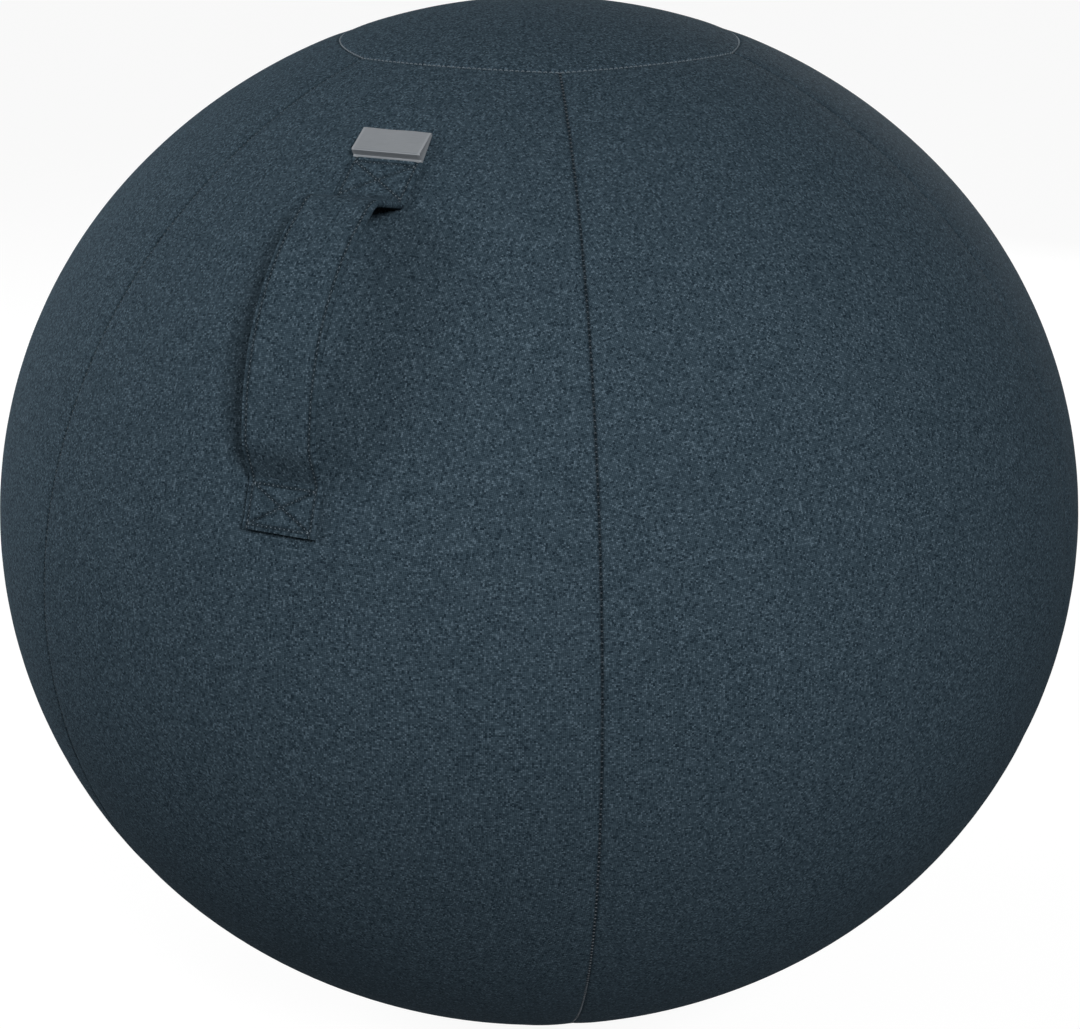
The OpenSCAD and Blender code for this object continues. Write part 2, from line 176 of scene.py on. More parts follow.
def turn_point(angle, centre, step):
    """Draws an arc on from the selected points, in steps of about the length given."""
    mesh = bmesh.from_edit_mesh(bpy.context.object.data)
    reach = max((v.co - Vector(centre)).length for v in mesh.verts if v.select)
    steps = ceil(abs(angle) * reach / step)
    bpy.ops.mesh.spin(steps=steps, angle=angle, center=centre, axis=(0, -1, 0))


def spin_all(steps, angle):
    """Spins the whole piece anticlockwise round the ball's axis."""
    bpy.ops.mesh.select_all(action="SELECT")
    bpy.ops.mesh.spin(steps=steps, angle=angle, center=(0, 0, 0), axis=(0, 0, -1))


def bisect(place, normal, **clear):
    """Cuts the whole piece along a plane, and may clear one side."""
    bpy.ops.mesh.select_all(action="SELECT")
    bpy.ops.mesh.bisect(plane_co=place, plane_no=normal, threshold=1e-7, **clear)


def finish_mesh():
    """Leaves edit mode with the doubles merged and the faces pointing outwards."""
    bpy.ops.mesh.select_all(action="SELECT")
    bpy.ops.mesh.remove_doubles(threshold=1e-6)
    bpy.ops.mesh.normals_make_consistent(inside=False)
    bpy.ops.object.mode_set(mode="OBJECT")
    bpy.ops.object.shade_smooth_by_angle(angle=SMOOTH)


def apply_modifier(kind, **settings):
    """Adds a modifier to the active piece and applies it."""
    piece = bpy.context.object
    modifier = piece.modifiers.new(kind.lower(), kind)
    for name, value in settings.items():
        setattr(modifier, name, value)
    bpy.ops.object.modifier_apply(modifier=modifier.name)


def lay_threads(piece, places):
    """Lays the cloth's own threads over a piece, from each point's place on the flat cloth, in metres."""
    layer = piece.data.uv_layers.get("threads") or piece.data.uv_layers.new(name="threads")
    for loop in piece.data.loops:
        layer.data[loop.index].uv = places[loop.vertex_index]


def gore_threads(piece, turn):
    """Lays the threads of a gore: the weft runs across its middle line and the warp along it."""
    radius = (half_w + half_h) / 2
    places = []
    for vertex in piece.data.vertices:
        p = Matrix.Rotation(-turn, 3, "Z") @ (vertex.co - middle)
        places.append((radius * asin(p.y / p.length), radius * atan2(p.z, p.x)))
    lay_threads(piece, places)


def seam_dip(distance):
    """How far the cloth lies under the smooth ball, at a distance from a seam."""
    groove = SEAM_DEPTH * exp(-(distance / SEAM_HALF) ** 2)
    return groove + SHOULDER_DEPTH * exp(-(distance / SHOULDER_HALF) ** 2)


def pucker(distance, along):
    """The small gathers that a seam's thread pulls into the cloth beside it."""
    fade = exp(-((distance - PUCKER_AT) / PUCKER_HALF) ** 2)
    spot = Vector((along / PUCKER_L, distance / PUCKER_W, PUCKER_SLICE))
    return PUCKER_H * fade * noise.noise(spot)


def outward(p):
    """The way that the smooth ball's surface faces at a point."""
    reach = hypot(p.x, p.y)
    angle = atan2(p.z - middle.z, reach - arc_shift)
    if angle > pi / 4:
        angle = atan2(p.z - middle.z + arc_shift, reach)
    elif angle < -pi / 4:
        angle = max(atan2(p.z - middle.z - arc_shift, reach), -LEAVE)
    return Vector((p.x, p.y, 0)).normalized() * cos(angle) + Vector((0, 0, sin(angle)))


def cap_height(reach):
    """The height of the ball's upper cap at a distance from the axis."""
    return middle.z - arc_shift + sqrt(cap_r ** 2 - reach ** 2)


def patch_edge(off):
    """How far the top patch's edge lies from the axis, at an angle from the middle of one of its sides."""
    return patch_arc_x * cos(off) + sqrt(PATCH_BOW_R ** 2 - (patch_arc_x * sin(off)) ** 2)


def mark_stitch_shade(piece, distances):
    """Marks how close each point lies to a line of stitches, which draws the cloth in; the material paints
    shade there.
    """
    layer = piece.data.attributes.new("sewn", "FLOAT", "POINT")
    layer.data.foreach_set("value", [exp(-(distance / STITCH_SHADE_HALF) ** 2) for distance in distances])


def seam_side(angle):
    """The level direction square to a seam plane, on its anticlockwise side."""
    return Vector((-sin(angle), cos(angle), 0))


def azimuth(p):
    """The angle of a point round the axis, from 0 to a full turn."""
    return atan2(p.y, p.x) % (2 * pi)


def by_zip(p):
    """Whether a point lies on the zip's side of the ball."""
    return ZIP_START < azimuth(p) < ZIP_END


def below_zip(p):
    """How far down the skirt a point lies from the zip's middle line, or far off if it isn't there."""
    reach = hypot(p.x, p.y)
    if p.z > middle.z or reach > skirt_top.x:
        return -half_w
    return (skirt_top.x - reach) / cos(skirt_slope) - ZIP_DOWN


def from_hem(p):
    """How far a point lies from the skirt's stitches: a topstitched hem along the zip, elsewhere a seam."""
    beside = abs(below_zip(p))
    return abs(beside - HEM_GAP - HEM_STITCH_IN) if by_zip(p) else beside


# One gore is drawn round the X axis: half the ball's outline, spun through a sixth of a turn
start_point("gore_pattern", (0, 0, middle.z + half_h))
turn_point(pi / 4, (0, 0, middle.z - arc_shift), ROW_STEP)
turn_point(pi / 2, (arc_shift, 0, middle.z), ROW_STEP)
turn_point(LEAVE - pi / 4, (0, 0, middle.z + arc_shift), ROW_STEP)
for stretch in (ZIP_DOWN - HEM_GAP, HEM_GAP):
    rows = ceil(stretch / ROW_STEP)
    for row in range(rows):
        bpy.ops.mesh.extrude_region_move(TRANSFORM_OT_translate={"value": down_skirt * (stretch / rows)})
bpy.ops.mesh.select_all(action="SELECT")
bpy.ops.transform.rotate(value=gore_angle / 2, orient_axis="Z", center_override=(0, 0, 0))
spin_all(GORE_COLUMNS, gore_angle)
bisect((patch_inner, 0, 0), (1, 0, 0), clear_inner=True)
for off in SEAM_LOOPS:
    pick(lambda p: p.z > middle.z, "FACE")
    bpy.ops.mesh.bisect(plane_co=(patch_inner + off, 0, 0), plane_no=(1, 0, 0), threshold=1e-7)
    for side in (-1, 1):
        across = seam_side(side * gore_angle / 2) * -side
        bisect(across * off, across)
finish_mesh()
pattern = bpy.context.object

# The sides of the top patch bow out, so the gore's upper rows bow with them
for vertex in pattern.data.vertices:
    reach, angle = hypot(vertex.co.x, vertex.co.y), atan2(vertex.co.y, vertex.co.x)
    straight = patch_inner / cos(angle)
    if vertex.co.z > middle.z and reach < straight + PATCH_FADE:
        share = (reach - straight) / PATCH_FADE
        reach += (patch_edge(angle) - straight) * (1 - share) ** 2 * (1 + 2 * share)
        vertex.co = Vector((reach * cos(angle), reach * sin(angle), cap_height(reach)))

hem_reach = (skirt_top + down_skirt * (ZIP_DOWN - HEM_GAP)).x
gores = []
for index in range(GORES):
    turn = FIRST_SEAM + (index + 0.5) * gore_angle
    bpy.ops.object.select_all(action="DESELECT")
    pattern.select_set(True)
    bpy.context.view_layer.objects.active = pattern
    bpy.ops.object.duplicate()
    gore = bpy.context.object
    gore.name = f"gore_{index + 1}"
    gore.data.transform(Matrix.Rotation(turn, 4, "Z"))
    bpy.ops.object.mode_set(mode="EDIT")
    for zip_end in (ZIP_START, ZIP_END):
        pick(lambda p: p.z < middle.z and hypot(p.x, p.y) < hem_reach, "FACE")
        middle_of_end = Vector((cos(zip_end), sin(zip_end), 0))
        if middle_of_end.dot(Vector((cos(turn), sin(turn), 0))) > cos(gore_angle / 2):
            bpy.ops.mesh.bisect(plane_co=(0, 0, 0), plane_no=seam_side(zip_end), threshold=1e-7)
    pick(lambda p: p.z < middle.z and hypot(p.x, p.y) < hem_reach and by_zip(p), "FACE")
    bpy.ops.mesh.delete(type="FACE")
    finish_mesh()
    outside = len(gore.data.vertices)
    apply_modifier("SOLIDIFY", thickness=COVER_T, offset=-1, use_even_offset=True)
    seam_distances = []
    for vertex in gore.data.vertices:
        p = Matrix.Rotation(-turn, 3, "Z") @ vertex.co
        from_sides = min(abs(p.dot(seam_side(side * gore_angle / 2))) for side in (-1, 1))
        from_patch = hypot(p.x, p.y) - patch_edge(atan2(p.y, p.x)) if p.z > middle.z else half_w
        near = min(from_sides, from_patch, half_w if by_zip(vertex.co) else from_hem(vertex.co))
        seam_distances.append(min(from_sides, from_hem(vertex.co)))
        along = degrees(atan2(p.z - middle.z, p.x)) * DEGREE_L + index
        if vertex.index < outside:
            vertex.co -= outward(vertex.co) * (seam_dip(near) + pucker(near, along))
    # Painted shade darkens each gore along its side seams and the skirt's stitches
    mark_stitch_shade(gore, seam_distances)
    gore_threads(gore, turn)
    gores.append(gore)
bpy.data.objects.remove(pattern)


def linear(hex_colour):
    """An sRGB hex colour as the linear colour that a socket takes."""
    parts = [int(hex_colour[i:i + 2], 16) / 255 for i in (1, 3, 5)]
    return [p / 12.92 if p <= 0.04045 else ((p + 0.055) / 1.055) ** 2.4 for p in parts] + [1]


def add(tree, kind, inputs=(), output=0, **settings):
    """Adds a node with its settings, and gives its inputs values or links, in order or by name."""
    new = tree.nodes.new("ShaderNode" + kind)
    for name, value in settings.items():
        setattr(new, name, value)
    for socket, value in inputs.items() if isinstance(inputs, dict) else enumerate(inputs):
        if isinstance(value, bpy.types.NodeSocket):
            tree.links.new(value, new.inputs[socket])
        else:
            new.inputs[socket].default_value = value
    return new.outputs[output] if isinstance(output, int) else [new.outputs[k] for k in output]


def new_material(name, **sockets):
    """A material with a Principled shader, whose fixed finish is set on the shader's own sockets."""
    material = bpy.data.materials.new(name)
    material.use_nodes = True
    shader = material.node_tree.nodes["Principled BSDF"]
    for socket, value in sockets.items():
        shader.inputs[socket.replace("_", " ")].default_value = value
    return material, material.node_tree, shader


# Plain-woven matt polyester, dyed slate blue. Weft and warp lie 0.9 mm apart, drawn a little coarser than
# the real ones so that they show. Its colour holds painted shade in the weave's hollows, painted light on
# its crests and painted glints and darker specks at some crossings, and each yarn has lighter and darker
# stretches of its own, a few millimetres long.
def weave_height(tree, threads):
    """The height of a plain weave: at each crossing one thread lies over the other, by turns."""
    waves = []
    for part in add(tree, "SeparateXYZ", (threads,), output=(0, 1)):
        half_turns = add(tree, "Math", (part, pi), operation="MULTIPLY")
        waves.append(add(tree, "Math", (half_turns,), operation="SINE"))
    crests = [add(tree, "Math", (wave,), operation="ABSOLUTE") for wave in waves]
    over = add(tree, "MapRange", {0: add(tree, "Math", waves, operation="MULTIPLY"), 1: -0.25, 2: 0.25})
    return add(tree, "Mix", {0: over, 2: crests[1], 3: crests[0]})


def yarns(tree, threads, cell, thread):
    """The tone of the weft and of the warp: each yarn has its own, and it changes slowly along the yarn."""
    along = add(tree, "SeparateXYZ", (threads,), output=(0, 1))
    number = add(tree, "SeparateXYZ", (cell,), output=(1, 0))
    tones = []
    for place, yarn in zip(along, number):
        on = add(tree, "Math", (place, thread / STRETCH), operation="MULTIPLY")
        row = add(tree, "Math", (yarn, ROW_APART), operation="MULTIPLY")
        spot = add(tree, "CombineXYZ", (on, row))
        tones.append(add(tree, "TexNoise", {0: spot, 2: 1.0, 3: 1.0}, noise_dimensions="2D"))
    return tones


def cloth(name, shaded_hollow, mean, lit_crest, thread):
    """Woven cloth, drawn thread by thread on the piece's own map of threads."""
    material, tree, shader = new_material(name, Roughness=0.9, Specular_IOR_Level=0.02)
    place = add(tree, "UVMap", uv_map="threads")
    threads = add(tree, "VectorMath", {0: place, 3: 1 / thread}, operation="SCALE")
    cell = add(tree, "VectorMath", (threads,), operation="FLOOR")
    # Painted glints: a random bright speck at some crossings, and a darker speck at others
    chance = add(tree, "TexWhiteNoise", (cell,), noise_dimensions="2D")
    either_way = add(tree, "Math", (chance, 2.0, -1.0), operation="MULTIPLY_ADD")
    crossing = add(tree, "Math", (either_way, 3.0), operation="POWER")
    weft, warp = yarns(tree, threads, cell, thread)
    cloud = add(tree, "TexNoise", {0: place, 2: 1 / CLOUD, 3: 2.0}, noise_dimensions="2D")
    # The weave's height goes into the colour as painted shade in its hollows and painted light on its
    # crests; the yarns' and the cloud's tones added after it are the cloth's own
    light = add(tree, "Math", (weave_height(tree, threads), 0.7, crossing), operation="MULTIPLY_ADD")
    for source, share in ((weft, 0.6), (warp, 0.35), (cloud, 0.08)):
        from_mean = add(tree, "Math", (source, 0.5), operation="SUBTRACT")
        light = add(tree, "Math", (from_mean, share, light), operation="MULTIPLY_ADD")
    ramp = add(tree, "ValToRGB", (add(tree, "MapRange", {0: light, 1: -0.6, 2: 1.5}),))
    colours = ramp.node.color_ramp
    colours.elements[0].color = linear(shaded_hollow)
    colours.elements[1].color = linear(lit_crest)
    colours.elements.new(0.5).color = linear(mean)
    # Painted shade: near a line of stitches, as the sewn mark gives, the colour darkens as the groove's
    # shade would
    near = add(tree, "Attribute", output=2, attribute_name="sewn")
    sewn = add(tree, "Math", (near, SEWN_SHADE), operation="MULTIPLY")
    stitch_shaded = add(tree, "Mix", {0: sewn, 6: ramp, 7: linear(CLOTH_STITCH_SHADE)}, output=2, data_type="RGBA")
    tree.links.new(stitch_shaded, shader.inputs["Base Color"])
    bump = add(tree, "Bump", {"Height": light, "Strength": 0.6, "Distance": CLOTH_RISE})
    tree.links.new(bump, shader.inputs["Normal"])
    return material


def dress(piece, material):
    """Gives a piece its material."""
    piece.data.materials.clear()
    piece.data.materials.append(material)


cover_cloth = cloth("plain_woven_polyester", CLOTH_SHADED_HOLLOW, CLOTH_MEAN, CLOTH_LIT_CREST, THREAD)
for index, gore in enumerate(gores):
    dress(gore, cover_cloth)
    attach(gore, "cover")
    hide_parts(f"gore_panel_{index + 1}")


# The top patch of the cover
# A six-cornered piece of the same cloth closes the cover over the pole, where the six gores would meet in a
# lump, and is sewn to each of them along one bowed side.
PATCH_ROWS = 5 * MM
PATCH_COLUMNS = 96

start_point("top_patch", (0, 0, middle.z + half_h))
drawn = 0
for off in SEAM_LOOPS[::-1] + [0]:
    angle = asin((PATCH_CORNER - off) / cap_r)
    turn_point(angle - drawn, (0, 0, middle.z - arc_shift), PATCH_ROWS)
    drawn = angle
spin_all(PATCH_COLUMNS, 2 * pi)
patch = bpy.context.object
finish_mesh()
patch.data.transform(Matrix.Rotation(FIRST_SEAM, 4, "Z"))


def edge_at(p):
    """How far the top patch's edge lies from the axis, on the way to a point."""
    return patch_edge((azimuth(p) - FIRST_SEAM) % gore_angle - gore_angle / 2)


for vertex in patch.data.vertices:
    level = vertex.co.xy * (edge_at(vertex.co) / PATCH_CORNER)
    vertex.co = Vector((level.x, level.y, cap_height(level.length)))
outside = len(patch.data.vertices)
apply_modifier("SOLIDIFY", thickness=COVER_T, offset=-1, use_even_offset=True)
for vertex in patch.data.vertices[:outside]:
    near = edge_at(vertex.co) - vertex.co.xy.length
    vertex.co -= outward(vertex.co) * (seam_dip(near) + pucker(near, azimuth(vertex.co) * PATCH_CORNER))
lay_threads(patch, [vertex.co.xy for vertex in patch.data.vertices])
dress(patch, cover_cloth)
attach(patch, "cover")
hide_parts("top_panel")


# The carry handle
# A strap of doubled webbing in the cover's cloth, sewn along both edges. It stands out from the ball in a
# long arc, and its two ends are sewn down on gore 1 with a box and a cross of stitches.
STRAP_W = 40 * MM
STRAP_T = 3 * MM
HANDLE_TOP = radians(56)
HANDLE_FOOT = radians(19)
UPPER_L = 27 * MM
LOWER_L = 25 * MM
TOP_BEND_H = 25 * MM
BOW_H = 42 * MM
FOOT_BEND_H = 15.5 * MM
STRAP_TURNS = [0, 4 * MM, 12 * MM, 118 * MM, 22 * MM, 6 * MM, 0]
BEND_LEAN = radians(2.8)
SEWN_STOP = radians(0.6)
STRAP_STEP = 1.2 * MM
STRAP_COLUMNS = 40
SEAM_IN = 3 * MM
BOX_IN = 2.6 * MM
EDGE_ROUND = 1.3 * MM
HEM_BEAD = 2 * MM
HEM_RISE = 1.0 * MM

# The strap's face: how wide and deep its stitches sink, its loft, its thin edge and its soft waves
SUNK_HALF = 0.8 * MM
EDGE_SUNK = 0.6 * MM
BOX_SUNK = 0.55 * MM
STRAP_LOFT = 0.1 * MM
STRAP_EDGE = 0.15 * MM
SOFT_H = 0.12 * MM
SOFT_W = 9 * MM
SOFT_L = 14 * MM
SOFT_SLICE = 1.3

strap_mid = STRAP_T / 2
upper_end = HANDLE_TOP - UPPER_L / cap_r
lower_end = HANDLE_FOOT + LOWER_L / side_r


def oval(angle, up):
    """A point above the ball's outline, as its distance from the axis and its height."""
    if angle > pi / 4:
        return Vector((0, middle.z - arc_shift)) + Vector((cos(angle), sin(angle))) * (cap_r + up)
    return Vector((arc_shift, middle.z)) + Vector((cos(angle), sin(angle))) * (side_r + up)


def on_ball(start, end):
    """The strap's middle line where it lies on the ball."""
    steps = ceil(abs(end - start) * cap_r / STRAP_STEP)
    return [oval(start + (end - start) * k / steps, strap_mid) for k in range(steps + 1)]


def rounded(points, turns):
    """A path with each inner corner rounded to its own radius."""
    path = [points[0]]
    for before, at, after, r in zip(points, points[1:], points[2:], turns[1:]):
        back, on = (before - at).normalized(), (after - at).normalized()
        half = back.angle(on) / 2
        centre = at + (back + on).normalized() * r / sin(half)
        spoke = at + back * r / tan(half) - centre
        sweep = pi - 2 * half
        if spoke.x * on.y - spoke.y * on.x < 0:
            sweep = -sweep
        steps = ceil(abs(sweep) * r / STRAP_STEP) + 2
        path += [centre + Matrix.Rotation(sweep * k / steps, 2) @ spoke for k in range(steps + 1)]
    return path + [points[-1]]


def lengths(path):
    """How far along a path each of its points lies."""
    along = [0.0]
    for a, b in zip(path, path[1:]):
        along.append(along[-1] + (b - a).length)
    return along


def nearest(path, place):
    """The number of the point of a path that lies nearest to a place."""
    return min(range(len(path)), key=lambda k: (place - path[k]).length)


def even_path(path, step):
    """The same path with its points about a step apart."""
    spaced = [path[0]]
    for a, b in zip(path, path[1:]):
        parts = max(1, round((b - a).length / step))
        if (b - a).length > step / 4:
            spaced += [a.lerp(b, (k + 1) / parts) for k in range(parts)]
    return spaced


strap_loop = [
    oval(upper_end + SEWN_STOP, strap_mid),
    oval(upper_end, strap_mid),
    oval(upper_end - BEND_LEAN, TOP_BEND_H),
    oval((upper_end + lower_end) / 2, BOW_H),
    oval(lower_end + BEND_LEAN, FOOT_BEND_H),
    oval(lower_end, strap_mid),
    oval(lower_end - SEWN_STOP, strap_mid)]
strap_path = even_path(
    on_ball(HANDLE_TOP, upper_end + 2 * SEWN_STOP) + rounded(strap_loop, STRAP_TURNS)
    + on_ball(lower_end - 2 * SEWN_STOP, HANDLE_FOOT), STRAP_STEP)

to_3d = Matrix(((0, 0), (-1, 0), (0, 1)))


def band(name, path, width, columns):
    """A flat band along a path in the plane of the handle, with each point's place on the band's own map."""
    start_point(name, (-width / 2, -path[0].x, path[0].y))
    for column in range(columns):
        bpy.ops.mesh.extrude_region_move(TRANSFORM_OT_translate={"value": (width / columns, 0, 0)})
    bpy.ops.mesh.select_all(action="SELECT")
    for a, b in zip(path, path[1:]):
        bpy.ops.mesh.extrude_region_move(TRANSFORM_OT_translate={"value": (0, a.x - b.x, b.y - a.y)})
    piece = bpy.context.object
    finish_mesh()
    if piece.data.polygons[0].normal.dot(outward(piece.data.vertices[0].co)) < 0:
        piece.data.flip_normals()
    along = lengths(path)
    places = [(vertex.co.x, along[nearest(path, Vector((-vertex.co.y, vertex.co.z)))])
              for vertex in piece.data.vertices]
    lay_threads(piece, places)
    return piece, along, places


strap, strap_along, strap_map = band("carry_strap", strap_path, STRAP_W, STRAP_COLUMNS)
strap_l = strap_along[-1]
middles = [vertex.co.copy() for vertex in strap.data.vertices]
lifts = [vertex.normal.copy() for vertex in strap.data.vertices]


def box_stitches(near_end):
    """The four corners of a sewn end's box of stitches, on the strap's own map."""
    side = STRAP_W / 2 - SEAM_IN
    first = BOX_IN if near_end else strap_l - LOWER_L + BOX_IN
    last = UPPER_L - BOX_IN if near_end else strap_l - BOX_IN
    return [Vector((-side, first)), Vector((side, first)), Vector((side, last)), Vector((-side, last))]


def box_lines(corners):
    """The lines across a box of stitches: its two ends and its two diagonals."""
    return [(corners[a], corners[b]) for a, b in ((0, 1), (2, 3), (0, 2), (1, 3))]


sewn_lines = box_lines(box_stitches(True)) + box_lines(box_stitches(False))
edge_lines = [(Vector((across, 0)), Vector((across, strap_l)))
              for across in (SEAM_IN - STRAP_W / 2, STRAP_W / 2 - SEAM_IN)]


def line_distance(p, line):
    """How far a point of the strap's map lies from a line of stitches."""
    a, b = line
    share = max(0, min(1, (p - a).dot(b - a) / (b - a).length_squared))
    return (p - a.lerp(b, share)).length


def strap_top(p):
    """Half the strap's thickness at a point of its map: rounded edges, sunk stitches, and a soft middle."""
    edge = STRAP_W / 2 - abs(p.x)
    round_edge = sqrt(max(0, 1 - (1 - min(edge, EDGE_ROUND) / EDGE_ROUND) ** 2))
    from_edge = min(line_distance(p, line) for line in edge_lines)
    from_box = min(line_distance(p, line) for line in sewn_lines)
    sunk = max(EDGE_SUNK * exp(-(from_edge / SUNK_HALF) ** 2), BOX_SUNK * exp(-(from_box / SUNK_HALF) ** 2))
    soft = SOFT_H * noise.noise(Vector((p.x / SOFT_W, p.y / SOFT_L, SOFT_SLICE)))
    hem = HEM_RISE * exp(-((strap_l - HEM_BEAD - p.y) / HEM_BEAD) ** 2)
    return (STRAP_T / 2 + STRAP_LOFT + soft - sunk + hem) * round_edge + STRAP_EDGE


apply_modifier("SOLIDIFY", thickness=STRAP_T, offset=0)
count = len(middles)
for index in range(count):
    half = strap_top(Vector(strap_map[index]))
    under = min(half, STRAP_T / 2)
    ends = strap.data.vertices[index], strap.data.vertices[index + count]
    ends = ends if (ends[0].co - middles[index]).dot(lifts[index]) > 0 else ends[::-1]
    ends[0].co = middles[index] + lifts[index] * half
    ends[1].co = middles[index] - lifts[index] * under
# Painted shade darkens the strap along its edge rows and its boxes and crosses of stitches
mark_stitch_shade(strap, [min(line_distance(Vector(place), line) for line in edge_lines + sewn_lines)
                  for place in strap_map] * 2)
bpy.ops.object.shade_smooth_by_angle(angle=radians(60))
dress(strap, cover_cloth)
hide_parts("handle_loop", "handle_end_upper", "handle_end_lower")

# The line through the strap's two sewn ends, and the way out from it, square to it in the handle's plane
hinge_points = [to_3d @ strap_loop[1], to_3d @ strap_loop[5]]
hinge_line = (hinge_points[0] - hinge_points[1]).normalized()
hinge_out = Vector((1, 0, 0)).cross(hinge_line)
hinge_out = hinge_out if hinge_out.y < 0 else -hinge_out
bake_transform(strap)


# The label
# A strip of grey polyester satin folded double, its two cut ends caught under the strap's upper end. The
# face stands off the cloth and rolls under at its foot. It is bare.
LABEL_W = 38 * MM
LABEL_L = 21 * MM
LABEL_T = 0.35 * MM
LABEL_ROOT = 0.8 * MM
LABEL_OFF = -1 * MM
LABEL_LEAN = -2.4 * MM
LABEL_COLUMNS = 40
LABEL_STEP = 0.6 * MM

# The folded strip seen from its side: corners in millimetres up the ball and off it, and how round each is
LABEL_CORNERS = ((1.6, -0.1), (-0.8, 1.7), (2.1, 4.9), (21.0, 1.0), (20.8, -0.4), (1.6, -0.45))
LABEL_TURNS = [0, 1.1 * MM, 0.9 * MM, 0.6 * MM, 0.6 * MM, 0]
SWAY_H = 0.5 * MM
SWAY_W = 16 * MM
SWAY_L = 20 * MM
SWAY_SLICE = 5.1
FLOAT_W = 0.5 * MM
SLUB_L = 8 * MM
# How wide the painted highlight along each long edge is
EDGE_HIGHLIGHT_W = 1.6 * MM
SATIN_RISE = 0.05 * MM

root_angle = HANDLE_TOP + LABEL_ROOT / cap_r
label_root = oval(root_angle, LABEL_ROOT)
up_ball = Vector((-sin(root_angle), cos(root_angle)))
off_ball = Vector((cos(root_angle), sin(root_angle)))
label_foot = to_3d @ label_root
label_loop = [label_root + up_ball * up * MM + off_ball * off * MM for up, off in LABEL_CORNERS]
label_path = even_path(rounded(label_loop, LABEL_TURNS), LABEL_STEP)
label, label_along, _ = band("folded_label", label_path, LABEL_W, LABEL_COLUMNS)
for vertex in label.data.vertices:
    sway = noise.noise(Vector((vertex.co.x / SWAY_W, vertex.co.z / SWAY_L, SWAY_SLICE)))
    lift = (vertex.co - label_foot).dot(to_3d @ up_ball) / LABEL_L
    vertex.co += to_3d @ off_ball * (SWAY_H * sway * max(0, lift))
    vertex.co.x += LABEL_OFF + LABEL_LEAN * lift
apply_modifier("SOLIDIFY", thickness=LABEL_T, offset=0)
bpy.ops.object.shade_smooth_by_angle(angle=radians(50))

# Satin: long floats of bright yarn lie side by side across the strip, so the eye sees fine ribs and a soft
# shine. A wave texture at scale 1 repeats about each third of a metre, so a rib is a light and a dark float.
satin, tree, shader = new_material(
    "polyester_satin", Roughness=0.42, Specular_IOR_Level=0.5, Sheen_Weight=0.15, Sheen_Roughness=0.3,
    Anisotropic=0.4)
place = add(tree, "UVMap", uv_map="threads")
rib = add(tree, "TexWave", (place, 1 / FLOAT_W / 6, 0.6, 2.0), bands_direction="Y")
long_floats = add(tree, "Mapping", {0: place, 3: (1 / SLUB_L, 1 / FLOAT_W, 1)})
slub = add(tree, "TexNoise", {0: long_floats, 2: 1.0}, noise_dimensions="2D")
# Painted highlight: the strip's two long edges are made lighter, as where they catch the light
from_middle = add(tree, "Math", (add(tree, "SeparateXYZ", (place,)),), operation="ABSOLUTE")
edge_highlight_mask = add(tree, "MapRange", {
    0: from_middle, 1: LABEL_W / 2 - EDGE_HIGHLIGHT_W, 2: LABEL_W / 2 - EDGE_HIGHLIGHT_W / 2})
from_mean = add(tree, "Math", (slub, 0.5), operation="SUBTRACT")
tone = add(tree, "Math", (from_mean, 0.9, rib), operation="MULTIPLY_ADD")
ramp = add(tree, "ValToRGB", (tone,))
ramp.node.color_ramp.elements[0].color = linear("#70757a")
ramp.node.color_ramp.elements[1].color = linear("#80858a")
edge_highlighted = add(tree, "Mix", {0: edge_highlight_mask, 6: ramp, 7: linear("#868b90")}, output=2, data_type="RGBA")
tree.links.new(edge_highlighted, shader.inputs["Base Color"])
bump = add(tree, "Bump", {"Height": tone, "Strength": 0.3, "Distance": SATIN_RISE})
tree.links.new(bump, shader.inputs["Normal"])
dress(label, satin)
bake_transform(label)
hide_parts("label")


# The thread
# Grey-blue polyester sewing thread in short stitches that sink into the cloth. In the seams a darker copy of
# it paints the shade of their grooves. One stitch is modelled and laid down along every seam.
STITCH_PITCH = 3 * MM
STRAP_PITCH = 2.5 * MM
STITCH_L = 2.1 * MM
STITCH_D = 0.65 * MM
PLY_TURN = 0.5 * MM
RUNG_DEPTH = 1.05 * MM
PATCH_STITCH_IN = 0.3 * MM
PATCH_STITCH_DEPTH = 0.9 * MM
PATCH_STITCH_TURN = 0.17

bpy.ops.object.select_all(action="DESELECT")
bpy.ops.mesh.primitive_uv_sphere_add(segments=6, ring_count=4, radius=STITCH_D / 2, rotation=(0, pi / 2, 0))
stitch = bpy.context.object
bpy.ops.object.transform_apply(rotation=True)
bpy.ops.object.mode_set(mode="EDIT")
for side in (-1, 1):
    pick(lambda p: p.x * side > STITCH_D / 20)
    bpy.ops.transform.translate(value=(side * (STITCH_L - STITCH_D) / 2, 0, 0))
pick(lambda p: abs(p.x) > STITCH_L / 2 - STITCH_D / 3)
bpy.ops.transform.translate(value=(0, 0, -STITCH_D * 0.6))
finish_mesh()
stitch_points = [vertex.co.copy() for vertex in stitch.data.vertices]
stitch_faces = [tuple(face.vertices) for face in stitch.data.polygons]
bpy.data.objects.remove(stitch)


def spun(name, dark, light):
    """Sewing thread, whose plies show as a fine twist."""
    material, tree, shader = new_material(name, Roughness=0.6, Sheen_Weight=0.2)
    twist = add(tree, "TexWave", (add(tree, "TexCoord", output=3), 1 / PLY_TURN / 6, 4.0))
    ramp = add(tree, "ValToRGB", (twist,))
    ramp.node.color_ramp.elements[0].color = linear(dark)
    ramp.node.color_ramp.elements[1].color = linear(light)
    tree.links.new(ramp, shader.inputs["Base Color"])
    return material


light_thread = spun("polyester_thread", "#3f4c56", "#64737d")
# A darker copy of the same thread, as painted shade for the stitches in the seams' grooves
seam_shade_thread = spun("shaded_polyester_thread", "#212b33", "#3a4751")


